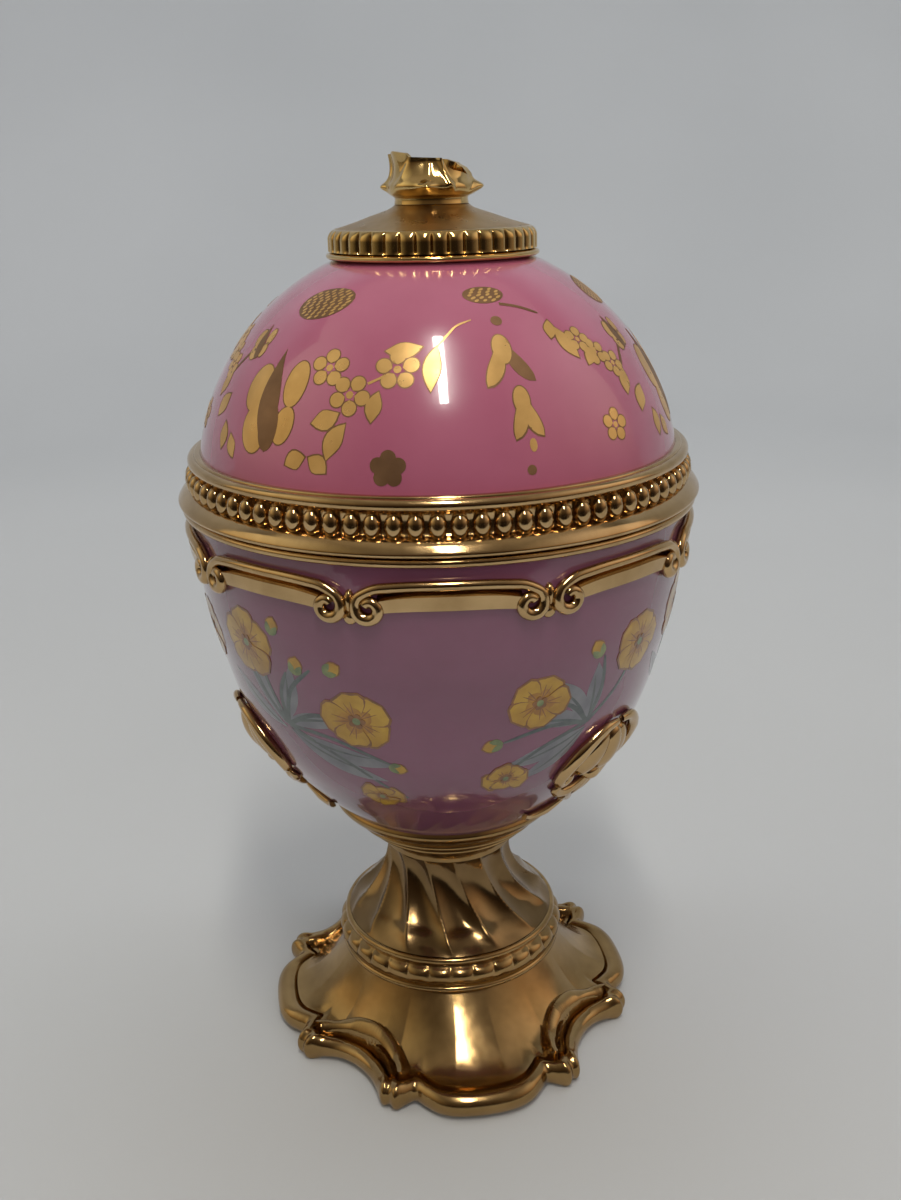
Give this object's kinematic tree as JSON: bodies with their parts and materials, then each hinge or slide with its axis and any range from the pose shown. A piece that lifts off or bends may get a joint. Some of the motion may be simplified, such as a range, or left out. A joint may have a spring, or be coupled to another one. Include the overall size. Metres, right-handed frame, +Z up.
{
  "type": "porcelain trinket box",
  "caption": "Egg-shaped porcelain trinket box on a gilt pedestal foot, with a domed lift-off lid, a beaded rim, a swag frieze and a petal finial.",
  "frame": {"origin": "centre of the foot, on the surface it stands on", "axes": "+Z up along the axis of the egg; the front faces -Y"},
  "size_m": [0.0928, 0.0928, 0.1654],
  "materials": {
    "pink_porcelain": "clear gloss glaze over a rose ground",
    "lavender_porcelain": "clear gloss glaze over a mauve ground",
    "gilt": "polished burnished gilt",
    "hardware_steel": "zinc-plated steel",
    "felt": "pressed felt"
  },
  "bodies": {
    "base": {"cup_bowl": "lavender_porcelain", "cup_rim_band": "gilt", "swag_frieze": "gilt", "ornament_left": "gilt", "ornament_right": "gilt", "ornament_back": "gilt", "neck_gasket": "felt", "neck_ring": "gilt", "stem": "gilt", "knop": "gilt", "foot": "gilt", "tie_rod": "hardware_steel", "bowl_acorn_nut": "hardware_steel", "bowl_washer": "hardware_steel", "foot_washer": "hardware_steel", "foot_nut": "hardware_steel"},
    "lid": {"lid_dome": "pink_porcelain", "lid_collar": "gilt", "finial_disc": "gilt", "finial_crown": "gilt", "finial_gasket": "felt", "finial_stud": "hardware_steel", "lid_washer": "hardware_steel", "lid_nut": "hardware_steel"}
  },
  "joints": [
    {"name": "lid_lift", "type": "slide", "parent": "base", "child": "lid", "axis": [0, 0, 1], "range_m": [0, 0.06]}
  ]
}
